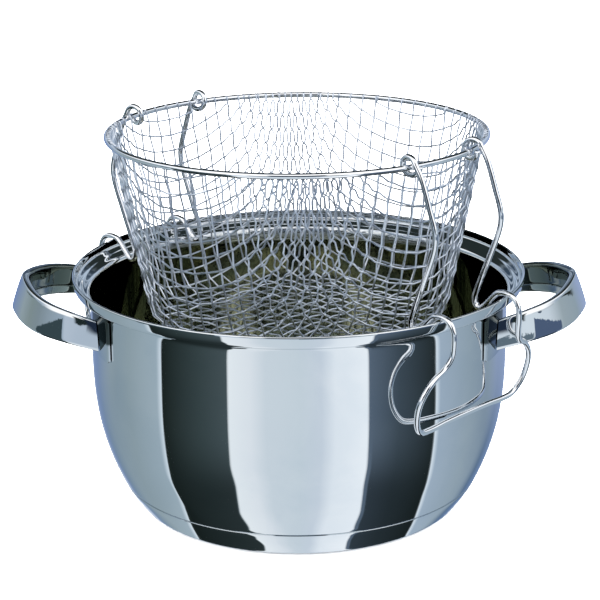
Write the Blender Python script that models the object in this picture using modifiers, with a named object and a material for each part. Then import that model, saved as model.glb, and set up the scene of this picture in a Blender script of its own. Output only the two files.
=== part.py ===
"""Stove-top deep fryer: a round steel pot with two side handles and a lift-out wire basket."""

import math

import bmesh
import bpy
import numpy as np
from mathutils import Vector

MM = 0.001

# Pot
RIM_R = 0.125
RIM_Z = 0.133
ROUND_STEPS = 56
WALL_PROFILE_OUT = [
    (123.4, 132.5), (124.0, 133.0), (124.7, 132.7), (125.0, 131.9), (124.5, 127.9), (123.6, 126.2),
    (121.2, 125.2), (117.4, 124.5), (115.9, 123.3), (115.3, 121.0), (115.4, 104.0), (115.5, 88.0),
    (115.3, 74.0), (114.4, 62.0), (112.6, 50.0), (110.0, 39.5), (107.1, 30.5), (104.1, 23.0),
    (101.6, 17.6), (100.9, 15.9), (98.9, 14.9), (96.2, 11.9), (92.0, 9.6), (86.0, 8.6), (0.0, 8.6),
]
WALL_PROFILE_IN = [
    (0.0, 9.6), (85.8, 9.6), (92.2, 11.0), (98.4, 15.4), (102.9, 22.7), (106.1, 30.9), (109.1, 40.0),
    (111.7, 50.3), (113.5, 62.2), (114.4, 74.0), (114.6, 88.0), (114.5, 104.0), (114.4, 120.9),
    (115.0, 123.9), (116.6, 125.3), (119.4, 125.8), (120.0, 127.0), (122.2, 127.6), (123.2, 128.6),
    (123.3, 131.8),
]

# Encapsulated base
CAP_PROFILE = [
    (100.3, 15.0), (92.4, 3.0), (90.9, 0.9), (88.6, 0.0), (0.0, 0.0), (0.0, 0.9), (88.3, 0.9),
    (90.2, 1.6), (91.6, 3.4), (99.2, 14.7), (99.6, 15.2),
]
CORE_PROFILE = [(0.0, 8.2), (86.0, 8.2), (87.6, 7.4), (88.4, 4.6), (87.6, 1.9), (86.6, 1.3), (0.0, 1.3)]

# Side handles of the pot: middle line of the outer face of one half, from the pot's wall outwards
ARM_PATH = [
    (106.6, 48.2, 108.0), (113.2, 47.7, 109.7), (119.6, 46.6, 111.4), (125.8, 44.9, 112.9),
    (131.8, 42.6, 114.3), (137.4, 39.3, 115.5), (142.4, 34.9, 116.8), (146.8, 29.3, 118.0),
    (150.4, 22.8, 119.1), (153.2, 15.8, 120.0), (155.4, 9.2, 120.6), (156.8, 3.0, 120.9),
]
ARM_END_R = 0.1174
ARM_LEAN_ROOT = math.radians(8.0)
ARM_LEAN_END = math.radians(19.5)
ARM_HEIGHT_ROOT = 0.0157
ARM_HEIGHT_END = 0.0200
ARM_TOP_WIDTH = 0.0046
ARM_LOW_WIDTH = 0.0072
ARM_LOW_RISE = 0.0016
ARM_SHEET = 0.0011
SEAM_DEPTH = 0.6

# Feet that carry the side handles
FOOT_R = 0.1159
FOOT_SHEET = 0.0011
FOOT_AZ_OUT = math.radians(31.4)
FOOT_AZ_IN = math.radians(18.8)
FOOT_TOP_Z = 0.1212
FOOT_LOW_Z = 0.0965

# Basket
RING_R = 0.103
RING_Z = 0.209
RING_WIRE = 0.00165
MESH_SHEET = 0.0011
MESH_PROFILE = [
    (101.0, 206.6), (98.0, 189.0), (94.4, 171.0), (90.9, 153.0), (87.3, 135.0), (84.2, 119.0),
    (82.9, 113.6), (80.2, 108.8), (76.0, 105.6), (70.4, 104.4), (36.0, 104.3), (0.0, 104.3),
]

# Wire handles of the basket: r, side offset and height of one half
WIRE_R = 0.0016
EYE_R = 0.0048
EYE_Z = 0.2096
EYE_SIDE = 0.0273
EYE_PITCH = 0.0037
LEG_LEAN = math.radians(20.6)
RIGHT_AZ = math.radians(-41.0)
LEFT_AZ = math.radians(139.6)
LEG_PATH = [
    (108.6, 27.3, 203.2), (113.2, 27.4, 190.4), (116.6, 27.5, 180.5), (117.4, 27.5, 173.5),
    (115.6, 27.4, 165.5), (110.4, 27.2, 152.0), (103.3, 27.0, 134.0), (101.9, 27.0, 129.0),
    (102.6, 27.0, 125.4), (105.2, 27.0, 123.9), (108.2, 27.0, 125.6), (115.6, 27.0, 133.4),
    (118.9, 27.1, 134.8), (122.2, 27.2, 135.0), (126.4, 27.4, 133.7), (129.5, 27.5, 129.6),
    (130.3, 27.6, 124.0), (129.6, 28.0, 116.0), (127.9, 31.5, 110.2), (126.9, 38.0, 106.4),
    (125.4, 43.6, 100.6), (123.2, 46.6, 92.5), (120.8, 45.2, 83.0), (118.6, 39.6, 75.9),
    (118.2, 31.0, 74.7), (118.2, 20.0, 75.2), (118.2, 9.0, 75.4), (118.2, 0.0, 75.4),
]


def clear_scene():
    for obj in list(bpy.data.objects):
        bpy.data.objects.remove(obj, do_unlink=True)
    for mesh in list(bpy.data.meshes):
        bpy.data.meshes.remove(mesh)
    for curve in list(bpy.data.curves):
        bpy.data.curves.remove(curve)


def new_collection(name):
    found = bpy.data.collections.new(name)
    bpy.context.scene.collection.children.link(found)
    return found


def metal(name, colour, roughness):
    mat = bpy.data.materials.new(name)
    mat.use_nodes = True
    shader = mat.node_tree.nodes["Principled BSDF"]
    shader.inputs["Base Color"].default_value = (*colour, 1.0)
    shader.inputs["Metallic"].default_value = 1.0
    shader.inputs["Roughness"].default_value = roughness
    mat.diffuse_color = (*colour, 1.0)
    return mat


def place(name, data, collection, mat, origin=(0.0, 0.0, 0.0)):
    obj = bpy.data.objects.new(name, data)
    obj.location = origin
    data.materials.append(mat)
    collection.objects.link(obj)
    return obj


def shade(mesh, angle=35.0):
    for face in mesh.polygons:
        face.use_smooth = True
    mesh.set_sharp_from_angle(angle=math.radians(angle))


def to_mesh(obj, collection, angle=35.0):
    """Replaces an object by the mesh its modifiers give."""
    graph = bpy.context.evaluated_depsgraph_get()
    mesh = bpy.data.meshes.new_from_object(obj.evaluated_get(graph))
    name = obj.name
    origin = obj.location.copy()
    bpy.data.objects.remove(obj, do_unlink=True)
    made = bpy.data.objects.new(name, mesh)
    made.location = origin
    collection.objects.link(made)
    shade(mesh, angle)
    return made


def turned(name, profile, closed, collection, mat, origin_z=0.0, steps=ROUND_STEPS):
    """Turns a profile of (radius, height) in millimetres about the vertical axis."""
    points = [(r * MM, 0.0, z * MM - origin_z) for r, z in profile]
    edges = [(i, i + 1) for i in range(len(points) - 1)]
    if closed:
        edges.append((len(points) - 1, 0))
    mesh = bpy.data.meshes.new(name)
    mesh.from_pydata(points, edges, [])
    obj = place(name, mesh, collection, mat, (0.0, 0.0, origin_z))
    screw = obj.modifiers.new("Turn", "SCREW")
    screw.axis = "Z"
    screw.angle = math.tau
    screw.steps = steps
    screw.render_steps = steps
    screw.use_merge_vertices = True
    screw.merge_threshold = 0.00001
    screw.use_smooth_shade = True
    return obj


def wire(name, points, radius, cyclic, collection, mat, origin=(0.0, 0.0, 0.0)):
    curve = bpy.data.curves.new(name, "CURVE")
    curve.dimensions = "3D"
    curve.bevel_depth = radius
    curve.bevel_resolution = 2
    curve.use_fill_caps = True
    spline = curve.splines.new("POLY")
    spline.points.add(len(points) - 1)
    for slot, point in zip(spline.points, points):
        local = Vector(point) - Vector(origin)
        slot.co = (*local, 1.0)
    spline.use_cyclic_u = cyclic
    return place(name, curve, collection, mat, origin)


def smooth_path(points, per_span):
    """Catmull-Rom curve through the points."""
    p = np.array(points)
    p = np.vstack([2 * p[0] - p[1], p, 2 * p[-1] - p[-2]])
    out = []
    for i in range(1, len(p) - 2):
        a, b, c, d = p[i - 1 : i + 3]
        for t in np.linspace(0.0, 1.0, per_span, endpoint=False):
            line = 2 * b + (c - a) * t
            bend = (2 * a - 5 * b + 4 * c - d) * t**2 + (3 * b - a - 3 * c + d) * t**3
            out.append((line + bend) / 2)
    out.append(p[-2])
    return np.array(out)


def loft(name, rings, collection, mat, angle=35.0):
    """A closed body through rings of the same count of points, capped at both ends."""
    bm = bmesh.new()
    rows = [[bm.verts.new(p) for p in ring] for ring in rings]
    count = len(rows[0])
    for low, high in zip(rows, rows[1:]):
        for i in range(count):
            j = (i + 1) % count
            bm.faces.new((low[i], low[j], high[j], high[i]))
    bm.faces.new(rows[0][::-1])
    bm.faces.new(rows[-1])
    bmesh.ops.triangulate(bm, faces=[f for f in bm.faces if len(f.verts) > 4])
    bmesh.ops.recalc_face_normals(bm, faces=bm.faces)
    mesh = bpy.data.meshes.new(name)
    bm.to_mesh(mesh)
    bm.free()
    shade(mesh, angle)
    return place(name, mesh, collection, mat)


def arm_frames(side):
    """Point on the outer face, way along, outward and upward directions and height, along a side handle."""
    half = [Vector((x * MM, y * MM, z * MM)) for x, y, z in ARM_PATH]
    path = half + [Vector((p.x, -p.y, p.z)) for p in reversed(half)]
    near = path[0].x
    far = path[len(half) - 1].x
    frames = []
    for i, p in enumerate(path):
        along = (path[min(i + 1, len(path) - 1)] - path[max(i - 1, 0)]).normalized()
        flat = Vector((-along.y, along.x, 0.0)).normalized()
        up = along.cross(flat)
        share = (p.x - near) / (far - near)
        lean = ARM_LEAN_ROOT + (ARM_LEAN_END - ARM_LEAN_ROOT) * share**2
        out = flat * math.cos(lean) + up * math.sin(lean)
        rise = up * math.cos(lean) - flat * math.sin(lean)
        height = ARM_HEIGHT_ROOT + (ARM_HEIGHT_END - ARM_HEIGHT_ROOT) * share
        point = p.copy()
        for vector in (point, along, out, rise):
            vector.x *= side
        frames.append((point, along, out, rise, height))
    return frames


def to_wall(point, along, radius):
    """Moves a point along the handle until it is at a radius from the pot's axis."""
    size = along.x**2 + along.y**2
    reach = point.x * along.x + point.y * along.y
    short = point.x**2 + point.y**2 - radius**2
    return point + along * ((math.sqrt(reach**2 - size * short) - reach) / size)


def arm_rings(side, section):
    """Places the sections of a side handle along its path, with both ends cut to the wall's curve."""
    rings = []
    frames = arm_frames(side)
    for i, (centre, along, out, rise, height) in enumerate(frames):
        ring = [centre + out * a + rise * b for a, b in section(height)]
        if i == 0:
            ring = [to_wall(point, along, ARM_END_R) for point in ring]
        if i == len(frames) - 1:
            ring = [to_wall(point, -along, ARM_END_R) for point in ring]
        rings.append(ring)
    return rings


def inner_face(height, b):
    """How far the inner face of a side handle lies behind its outer face, at a height b."""
    share = (height / 2 - b) / (height - ARM_LOW_RISE)
    return -ARM_TOP_WIDTH - (ARM_LOW_WIDTH - ARM_TOP_WIDTH) * share


def shell_section(height):
    """Outer face, top and inner lip of a side handle, as one bent sheet: (outward, upward)."""
    h = height / 2
    s = ARM_SHEET
    w = ARM_TOP_WIDTH
    seam = h - height * SEAM_DEPTH
    back = inner_face(height, seam)
    outer = [(-0.0006, -h), (0.0, -h + 0.0012), (0.0, h - 0.001), (-0.0003, h - 0.0003), (-0.001, h)]
    outer += [(-w + 0.0016, h), (-w + 0.0005, h - 0.0005), (-w, h - 0.0016), (back, seam)]
    inner = [(back + s, seam), (-w + s, h - 0.0019), (-w + s + 0.0005, h - s)]
    inner += [(-s - 0.0004, h - s), (-s, h - s - 0.0004), (-s, -h + 0.0012), (-s - 0.0003, -h)]
    return outer + inner


def strip_section(height):
    """Lower inner face and underside of a side handle, closing the bent sheet."""
    h = height / 2
    s = ARM_SHEET
    w = ARM_LOW_WIDTH
    low = -h + ARM_LOW_RISE
    top = h - height * SEAM_DEPTH - 0.0003
    bend = inner_face(height, low + 0.0014)
    right = -s - 0.0006
    return [
        (inner_face(height, top), top), (bend, low + 0.0014), (-w + 0.0005, low + 0.0003),
        (-w + 0.0016, low - 0.0002), (right, -h + 0.0003), (right, -h + 0.0003 + s),
        (-w + 0.0018, low - 0.0002 + s), (bend + s, low + 0.0016), (inner_face(height, top) + s, top),
    ]


def foot(name, side, way, collection, mat):
    """A curved plate against the pot's wall, running to a low corner away from the handle."""
    rings = []
    count = 7
    for i in range(count):
        share = i / (count - 1)
        az = FOOT_AZ_IN + (FOOT_AZ_OUT - FOOT_AZ_IN) * share
        low = FOOT_LOW_Z + 0.0022 * (1.0 - share) ** 1.2
        top = FOOT_TOP_Z - 0.0006 * (1.0 - share)
        trim = 0.0009 if i in (0, count - 1) else 0.0
        ring = []
        for radius, z in (
            (FOOT_R, low + trim), (FOOT_R + FOOT_SHEET, low + trim),
            (FOOT_R + FOOT_SHEET, top - trim), (FOOT_R, top - trim),
        ):
            ring.append((side * radius * math.cos(az), way * radius * math.sin(az), z))
        rings.append(ring)
    return loft(name, rings, collection, mat, 30.0)


def leg_points():
    """One half of a wire handle as (r, side, height): eyelet turn, leg, rim hook and grip."""
    chord = math.sqrt(RING_R**2 - EYE_SIDE**2)
    points = []
    turns = 18
    for i in range(turns):
        share = 1.0 - i / (turns - 1)
        angle = LEG_LEAN + math.radians(338.0) * share
        side = EYE_SIDE - EYE_PITCH * share
        points.append((chord + EYE_R * math.cos(angle), side, EYE_Z + EYE_R * math.sin(angle)))
    rest = [(r * MM, t * MM, z * MM) for r, t, z in LEG_PATH]
    run = smooth_path([points[-1], *rest], 2)
    return points + [tuple(p) for p in run[1:]]


def wire_handle(name, azimuth, collection, mat):
    half = leg_points()
    full = half + [(r, -t, z) for r, t, z in reversed(half[:-1])]
    out = Vector((math.cos(azimuth), math.sin(azimuth), 0.0))
    side = Vector((-math.sin(azimuth), math.cos(azimuth), 0.0))
    points = [out * r + side * t + Vector((0.0, 0.0, z)) for r, t, z in full]
    chord = math.sqrt(RING_R**2 - EYE_SIDE**2)
    origin = out * chord + Vector((0.0, 0.0, EYE_Z))
    return wire(name, points, WIRE_R, False, collection, mat, origin)


def eyelet_notches(cutters):
    """Blocks that free the mesh around the four eyelets."""
    chord = math.sqrt(RING_R**2 - EYE_SIDE**2)
    made = []
    for azimuth in (RIGHT_AZ, LEFT_AZ):
        for sign in (-1, 1):
            mesh = bpy.data.meshes.new("eyelet_notch")
            bm = bmesh.new()
            bmesh.ops.create_cube(bm, size=1.0)
            bmesh.ops.scale(bm, vec=(0.024, 0.0115, 0.014), verts=bm.verts)
            bm.to_mesh(mesh)
            bm.free()
            cutter = bpy.data.objects.new("eyelet_notch", mesh)
            out = Vector((math.cos(azimuth), math.sin(azimuth), 0.0))
            side = Vector((-math.sin(azimuth), math.cos(azimuth), 0.0))
            at = sign * (EYE_SIDE - EYE_PITCH / 2)
            cutter.location = out * chord + side * at + Vector((0.0, 0.0, 0.2090))
            cutter.rotation_euler = (0.0, 0.0, azimuth)
            cutter.display_type = "WIRE"
            cutter.hide_render = True
            cutters.objects.link(cutter)
            made.append(cutter)
    return made


def build_pot(parts):
    body = turned(
        "pot_body", WALL_PROFILE_IN + WALL_PROFILE_OUT, False, parts,
        metal("polished_steel_pot", (0.80, 0.81, 0.82), 0.08),
    )
    cap = turned("base_cap", CAP_PROFILE, True, parts, metal("polished_steel_cap", (0.78, 0.79, 0.80), 0.12))
    core = turned("base_core_disc", CORE_PROFILE, False, parts, metal("aluminium_core", (0.86, 0.87, 0.88), 0.35))
    return body, cap, core


def build_side_handles(parts):
    for word, side in (("right", 1.0), ("left", -1.0)):
        steel = metal(f"polished_steel_{word}_handle", (0.80, 0.81, 0.82), 0.10)
        loft(f"{word}_handle_shell", arm_rings(side, shell_section), parts, steel)
        strip = metal(f"polished_steel_{word}_strip", (0.76, 0.77, 0.77), 0.16)
        loft(f"{word}_handle_strip", arm_rings(side, strip_section), parts, strip)
        for place_word, way in (("front", -1.0), ("rear", 1.0)):
            plate = metal(f"steel_{word}_{place_word}_foot", (0.79, 0.80, 0.81), 0.14)
            foot(f"{word}_{place_word}_foot", side, way, parts, plate)


def build_basket(parts, cutters):
    count = ROUND_STEPS
    circle = [
        (RING_R * math.cos(math.tau * i / count), RING_R * math.sin(math.tau * i / count), RING_Z)
        for i in range(count)
    ]
    ring_metal = metal("chromed_ring_wire", (0.82, 0.83, 0.84), 0.12)
    wire("basket_rim_ring", circle, RING_WIRE, True, parts, ring_metal, (0.0, 0.0, RING_Z))
    sheet = MESH_SHEET / MM
    outer = MESH_PROFILE
    inner = [(max(r - sheet, 0.0), z + sheet * (1.0 if r < 78.0 else 0.0)) for r, z in reversed(outer)]
    inner[-1] = (outer[0][0] - sheet, outer[0][1])
    net_metal = metal("tinned_mesh_wire", (0.74, 0.76, 0.80), 0.22)
    net = turned("basket_mesh", inner + outer, False, parts, net_metal, RING_Z)
    for cutter in eyelet_notches(cutters):
        cut = net.modifiers.new("Notch", "BOOLEAN")
        cut.operation = "DIFFERENCE"
        cut.solver = "EXACT"
        cut.object = cutter


def build_basket_handles(parts):
    for name, azimuth in (("right_basket_handle", RIGHT_AZ), ("left_basket_handle", LEFT_AZ)):
        wire_handle(name, azimuth, parts, metal(f"chromed_{name}", (0.84, 0.85, 0.86), 0.10))


def main():
    clear_scene()
    parts = new_collection("stove_top_deep_fryer")
    cutters = new_collection("cutters")
    cutters.hide_render = True
    build_pot(parts)
    build_side_handles(parts)
    build_basket(parts, cutters)
    build_basket_handles(parts)


main()
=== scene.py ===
"""Looks of a stove-top deep fryer: polished pot, side handles, and a lift-out basket of woven wire."""

import math

import bpy
import numpy as np
from mathutils import Matrix


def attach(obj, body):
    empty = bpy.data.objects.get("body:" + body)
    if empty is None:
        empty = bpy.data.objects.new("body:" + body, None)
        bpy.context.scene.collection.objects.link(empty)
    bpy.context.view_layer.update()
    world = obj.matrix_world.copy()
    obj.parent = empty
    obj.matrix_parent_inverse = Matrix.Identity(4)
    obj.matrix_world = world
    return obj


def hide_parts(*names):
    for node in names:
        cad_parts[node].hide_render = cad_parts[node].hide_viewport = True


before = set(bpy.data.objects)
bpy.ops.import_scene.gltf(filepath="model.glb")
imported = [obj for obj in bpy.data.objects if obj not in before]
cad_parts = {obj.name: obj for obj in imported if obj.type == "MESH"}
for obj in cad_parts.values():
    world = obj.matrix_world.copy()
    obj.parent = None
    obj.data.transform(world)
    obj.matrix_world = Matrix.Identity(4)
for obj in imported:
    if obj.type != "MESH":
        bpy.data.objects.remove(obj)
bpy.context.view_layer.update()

MM = 0.001

# Pot and encapsulated base, (radius, height) in millimetres
POT_INSIDE = [
    (0.0, 9.6), (30.0, 9.6), (60.0, 9.6), (80.0, 9.6), (85.8, 9.6), (92.2, 11.0), (98.4, 15.4),
    (102.9, 22.7), (106.1, 30.9), (109.1, 40.0), (111.7, 50.3), (113.5, 62.2), (114.4, 74.0),
    (114.6, 88.0), (114.5, 104.0), (114.4, 116.0), (114.4, 120.9), (115.0, 123.9), (116.6, 125.3),
    (119.4, 125.8), (120.0, 127.0), (122.2, 127.6), (123.2, 128.6), (123.3, 131.8),
]
POT_OUTSIDE = [
    (123.4, 132.5), (124.0, 133.0), (124.7, 132.7), (125.0, 131.9), (124.5, 127.9), (123.6, 126.2),
    (121.2, 125.2), (117.4, 124.5), (115.9, 123.3), (115.3, 121.0), (115.35, 112.0), (115.4, 104.0),
    (115.5, 88.0), (115.3, 74.0), (114.4, 62.0), (112.6, 50.0), (110.0, 39.5), (107.1, 30.5),
    (104.1, 23.0), (101.6, 17.6), (100.9, 15.9), (98.9, 14.9), (96.2, 11.9), (92.0, 9.6),
    (86.0, 8.6), (60.0, 8.6), (30.0, 8.6), (0.0, 8.6),
]
CAP_PROFILE = [
    (100.3, 15.0), (99.6, 13.3), (96.4, 8.4), (93.4, 4.2), (92.1, 2.4), (90.9, 0.9), (88.6, 0.0),
    (60.0, 0.0), (30.0, 0.0), (0.0, 0.0), (0.0, 0.9), (30.0, 0.9), (60.0, 0.9), (88.3, 0.9),
    (90.2, 1.6), (91.6, 3.4), (95.4, 9.0), (99.2, 14.7), (99.6, 15.2),
]

# Side handles of the pot: middle line of the outer face of one half
ARM_PATH = [
    (106.6, 48.2, 108.0), (113.2, 47.7, 109.7), (119.6, 46.6, 111.4), (125.8, 44.9, 112.9),
    (131.8, 42.6, 114.3), (137.4, 39.3, 115.5), (142.4, 34.9, 116.8), (146.8, 29.3, 118.0),
    (150.4, 22.8, 119.1), (153.2, 15.8, 120.0), (155.4, 9.2, 120.6), (156.8, 3.0, 120.9),
]
ARM_END_R = 117.4
ARM_LEAN_ROOT = math.radians(8.0)
ARM_LEAN_END = math.radians(19.5)
ARM_HEIGHT_ROOT = 15.7
ARM_HEIGHT_END = 20.0
ARM_TOP_WIDTH = 4.6
ARM_LOW_WIDTH = 7.2
ARM_LOW_RISE = 1.6
ARM_SHEET = 1.1
ARM_CROWN = 0.35
SEAM_DEPTH = 0.6

# Middle of the loop that a side handle makes with the wall, from the pot's axis in metres
LOOP_MIDDLE = 0.118

# Feet that carry the side handles
FOOT_R = 115.9
FOOT_SHEET = 1.1
FOOT_AZ_OUT = math.radians(31.4)
FOOT_AZ_IN = math.radians(18.8)
FOOT_TOP_Z = 121.2
FOOT_LOW_Z = 96.5

# Basket ring and woven mesh. A cell is a rhomb with sides of one pitch, and where the cloth is drawn
# together its narrow diagonal stops at MESH_LOCK.
RING_R = 103.0
RING_Z = 209.0
RING_WIRE = 1.65
RING_WELD_AZ = math.radians(97.0)
RING_WELD_LENGTH = 1.1
RING_WELD_SWELL = 0.13
MESH_WIRE = 0.52
MESH_PITCH = 8.85
MESH_LOCK = 3.5
MESH_REACH = 28
MESH_TURN = math.radians(48.95)
MESH_CRIMP = 0.52
FLOOR_Z = 104.9
FLOOR_R = 69.5
CORNER_R = 14.0
FLARE = math.radians(10.86)
MESH_TOP = 206.6

# Wire handles of the basket
WIRE_R = 1.6
EYE_R = 4.8
EYE_Z = 209.6
EYE_SIDE = 27.3
EYE_PITCH = 3.7
EYE_TURN = math.radians(338.0)
LEG_LEAN = math.radians(20.6)

# A mesh wire nearer than this to an eyelet, along the ring, ends below this height
EYE_ROOM = 4.4
EYE_LOW = 202.6

# Where the two wire handles are, and half of one as (radius, side, height)
RIGHT_AZ = math.radians(-41.0)
LEFT_AZ = math.radians(139.6)
LEG_PATH = [
    (108.6, 27.3, 203.2), (113.2, 27.4, 190.4), (116.6, 27.5, 180.5), (117.4, 27.5, 173.5),
    (115.6, 27.4, 165.5), (110.4, 27.2, 152.0), (103.3, 27.0, 134.0), (101.9, 27.0, 129.0),
    (102.6, 27.0, 125.4), (105.2, 27.0, 123.9), (108.2, 27.0, 125.6), (115.6, 27.0, 133.4),
    (118.9, 27.1, 134.8), (122.2, 27.2, 135.0), (126.4, 27.4, 133.7), (129.5, 27.5, 129.6),
    (130.3, 27.6, 124.0), (129.6, 28.0, 116.0), (127.9, 31.5, 110.2), (126.9, 38.0, 106.4),
    (125.4, 43.6, 100.6), (123.2, 46.6, 92.5), (120.8, 45.2, 83.0), (118.6, 39.6, 75.9),
    (118.2, 31.0, 74.7), (118.2, 20.0, 75.2), (118.2, 9.0, 75.4), (118.2, 0.0, 75.4),
]

# Studio: cloths, dark screens and panels round the pot, as turn from straight ahead in degrees
# and display colour. The turn is twice that of the part of the wall that mirrors it.
LEFT_BANDS = [
    (0.0, (193, 204, 212)), (17.0, (196, 206, 214)), (25.0, (214, 220, 226)), (36.4, (222, 228, 232)),
    (37.0, (66, 78, 82)), (52.0, (53, 65, 67)), (75.3, (26, 34, 32)),
    (75.9, (205, 216, 224)), (79.0, (152, 168, 178)), (101.0, (136, 152, 160)), (146.0, (110, 130, 150)),
    (158.0, (112, 132, 164)), (168.0, (190, 200, 215)), (180.0, (205, 212, 222)),
]
RIGHT_BANDS = [
    (0.0, (193, 204, 212)), (11.0, (197, 206, 216)), (18.0, (222, 228, 234)), (35.0, (230, 235, 240)),
    (35.6, (84, 98, 114)), (52.0, (60, 72, 82)), (74.4, (34, 42, 44)),
    (75.0, (214, 224, 232)), (78.0, (154, 170, 186)), (101.0, (140, 156, 168)), (142.0, (88, 109, 134)),
    (164.0, (92, 115, 150)), (174.0, (180, 192, 208)), (180.0, (200, 208, 220)),
]

# Panels level with the pot, seen in its side handles, by the plain turn from straight ahead
LEFT_PANELS = [
    (0.0, (172, 184, 196)), (38.5, (176, 188, 202)), (41.0, (147, 163, 178)), (84.0, (126, 140, 147)),
    (105.0, (127, 141, 142)), (126.0, (142, 156, 162)), (150.0, (112, 132, 170)), (180.0, (118, 137, 172)),
]
RIGHT_PANELS = [
    (0.0, (190, 200, 210)), (30.0, (205, 215, 223)), (62.0, (197, 207, 216)), (92.0, (150, 163, 170)),
    (126.0, (140, 155, 165)), (140.0, (145, 160, 190)), (180.0, (142, 158, 192)),
]

# Share of the light that the polished wall and the side handles give back
WALL_SHINE = 0.76
HANDLE_SHINE = 0.78

# How bright the studio is to rough surfaces
ROOM_LIGHT = 4.5

# Display colours of the rest of the studio
SCREEN_FOOT = (22, 30, 30)
LEFT_SCREEN = (60, 76, 82)
RIGHT_SCREEN = (84, 101, 130)
FOLD = (36, 42, 38)
CLUTTER = (104, 121, 134)
LAMP = (62, 80, 102)
CEILING = (158, 172, 186)
HIGH_CEILING = (244, 247, 251)
SOFTBOX = (255, 255, 255)
DARK_CLOTH = (34, 46, 46)
CAMERA_STAND = (36, 48, 66)
STREAK_DARK = (62, 78, 96)
STREAK_PALE = (172, 186, 203)
ROOM = (42, 50, 50)

# The lamp's turn from straight ahead and height, as a direction
LAMP_TURN = 0.82
LAMP_HALF_WIDTH = 0.060
LAMP_Z = 0.106
LAMP_HALF_HEIGHT = 0.015

# Floor, in millimetres
FLOOR_RINGS = (300.0, 900.0, 2400.0, 6000.0)
FLOOR_DROP = 0.3

# Camera: lens in millimetres, shift as a share of the frame, place in metres and turns in radians
CAMERA_LENS = 115.1
CAMERA_SHIFT = 0.0024
CAMERA_PLACE = (0.0, -1.0213, 0.4314)
CAMERA_DOWN = 0.3019
CAMERA_ROLL = 0.0095

# The camera and the studio stand turned this far about the vertical
VIEW_TURN = math.radians(1.15)


# ---------------------------------------------------------------- shapes


def mesh_object(name, points, faces, angle=40.0):
    """A mesh in metres from points in millimetres, with its faces turned outwards."""
    points = np.asarray(points, float) * MM
    mesh = bpy.data.meshes.new(name)
    mesh.from_pydata([tuple(p) for p in points], [], faces)
    mesh.update()
    mesh.calc_loop_triangles()
    tris = np.array([t.vertices for t in mesh.loop_triangles])
    a, b, c = (points[tris[:, k]] for k in range(3))
    if np.einsum("ij,ij->i", a, np.cross(b, c)).sum() < 0.0:
        mesh.flip_normals()
    mesh.shade_smooth()
    mesh.set_sharp_from_angle(angle=math.radians(angle))
    obj = bpy.data.objects.new(name, mesh)
    bpy.context.scene.collection.objects.link(obj)
    return obj


def b_spline(points, per_span, cyclic=False):
    """Uniform cubic B-spline near the points, through the two ends of an open row."""
    p = np.asarray(points, float)
    if cyclic:
        p = np.vstack([p[-1:], p, p[:2]])
    else:
        p = np.vstack([2 * p[0] - p[1], p, 2 * p[-1] - p[-2]])
    out = []
    for i in range(1, len(p) - 2):
        a, b, c, d = p[i - 1 : i + 3]
        for t in np.linspace(0.0, 1.0, per_span, endpoint=False):
            s = 1.0 - t
            out.append(
                (s**3 * a + (3 * t**3 - 6 * t**2 + 4) * b + (3 * s**3 - 6 * s**2 + 4) * c + t**3 * d) / 6
            )
    if not cyclic:
        out.append(p[-2])
    return np.array(out)


def through(points, per_span):
    """Catmull-Rom curve through the points."""
    p = np.asarray(points, float)
    p = np.vstack([2 * p[0] - p[1], p, 2 * p[-1] - p[-2]])
    out = []
    for i in range(1, len(p) - 2):
        a, b, c, d = p[i - 1 : i + 3]
        for t in np.linspace(0.0, 1.0, per_span, endpoint=False):
            line = 2 * b + (c - a) * t
            bend = (2 * a - 5 * b + 4 * c - d) * t**2 + (3 * b - a - 3 * c + d) * t**3
            out.append((line + bend) / 2)
    out.append(p[-2])
    return np.array(out)


def turned(name, profile, steps, closed, angle=40.0):
    """Turns a profile of (radius, height) about the vertical axis."""
    points = []
    rows = []
    for r, z in profile:
        if r < 1e-6:
            rows.append([len(points)])
            points.append((0.0, 0.0, z))
            continue
        rows.append(list(range(len(points), len(points) + steps)))
        turn = np.arange(steps) * (math.tau / steps)
        points += list(zip(r * np.cos(turn), r * np.sin(turn), [z] * steps))
    pairs = list(zip(rows, rows[1:]))
    if closed:
        pairs.append((rows[-1], rows[0]))
    faces = []
    for low, high in pairs:
        for i in range(steps):
            j = (i + 1) % steps
            ring = [low[i % len(low)], low[j % len(low)], high[j % len(high)], high[i % len(high)]]
            face = list(dict.fromkeys(ring))
            if len(face) > 2:
                faces.append(face)
    return mesh_object(name, points, faces, angle)


def tube_parts(path, radius, sides, start):
    """Rings and caps of a round wire with rounded ends along a path, as points and faces."""
    p = np.asarray(path, float)
    way = np.gradient(p, axis=0)
    way /= np.linalg.norm(way, axis=1)[:, None]
    side = np.cross(way[0], [0.0, 0.0, 1.0])
    if np.linalg.norm(side) < 0.2:
        side = np.cross(way[0], [1.0, 0.0, 0.0])
    sides_at = []
    for w in way:
        side = side - w * (side @ w)
        side = side / np.linalg.norm(side)
        sides_at.append(side.copy())
    sides_at = np.array(sides_at)
    other = np.cross(way, sides_at)
    turn = np.arange(sides) * (math.tau / sides)
    cut = radius * 0.35
    tip = radius * 0.7
    centres = np.vstack([p[0], p[0] + way[0] * cut, p[1:-1], p[-1] - way[-1] * cut, p[-1]])
    radii = np.concatenate([[tip], np.full(len(p), radius), [tip]])
    sides_at = np.vstack([sides_at[:1], sides_at, sides_at[-1:]])
    other = np.vstack([other[:1], other, other[-1:]])
    points = []
    for centre, u, v, r in zip(centres, sides_at, other, radii):
        points += [centre + r * (math.cos(t) * u + math.sin(t) * v) for t in turn]
    faces = []
    for k in range(len(centres) - 1):
        low = start + k * sides
        for i in range(sides):
            j = (i + 1) % sides
            faces.append((low + i, low + j, low + sides + j, low + sides + i))
    last = start + (len(centres) - 1) * sides
    faces.append(tuple(start + i for i in reversed(range(sides))))
    faces.append(tuple(last + i for i in range(sides)))
    return points, faces


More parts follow.
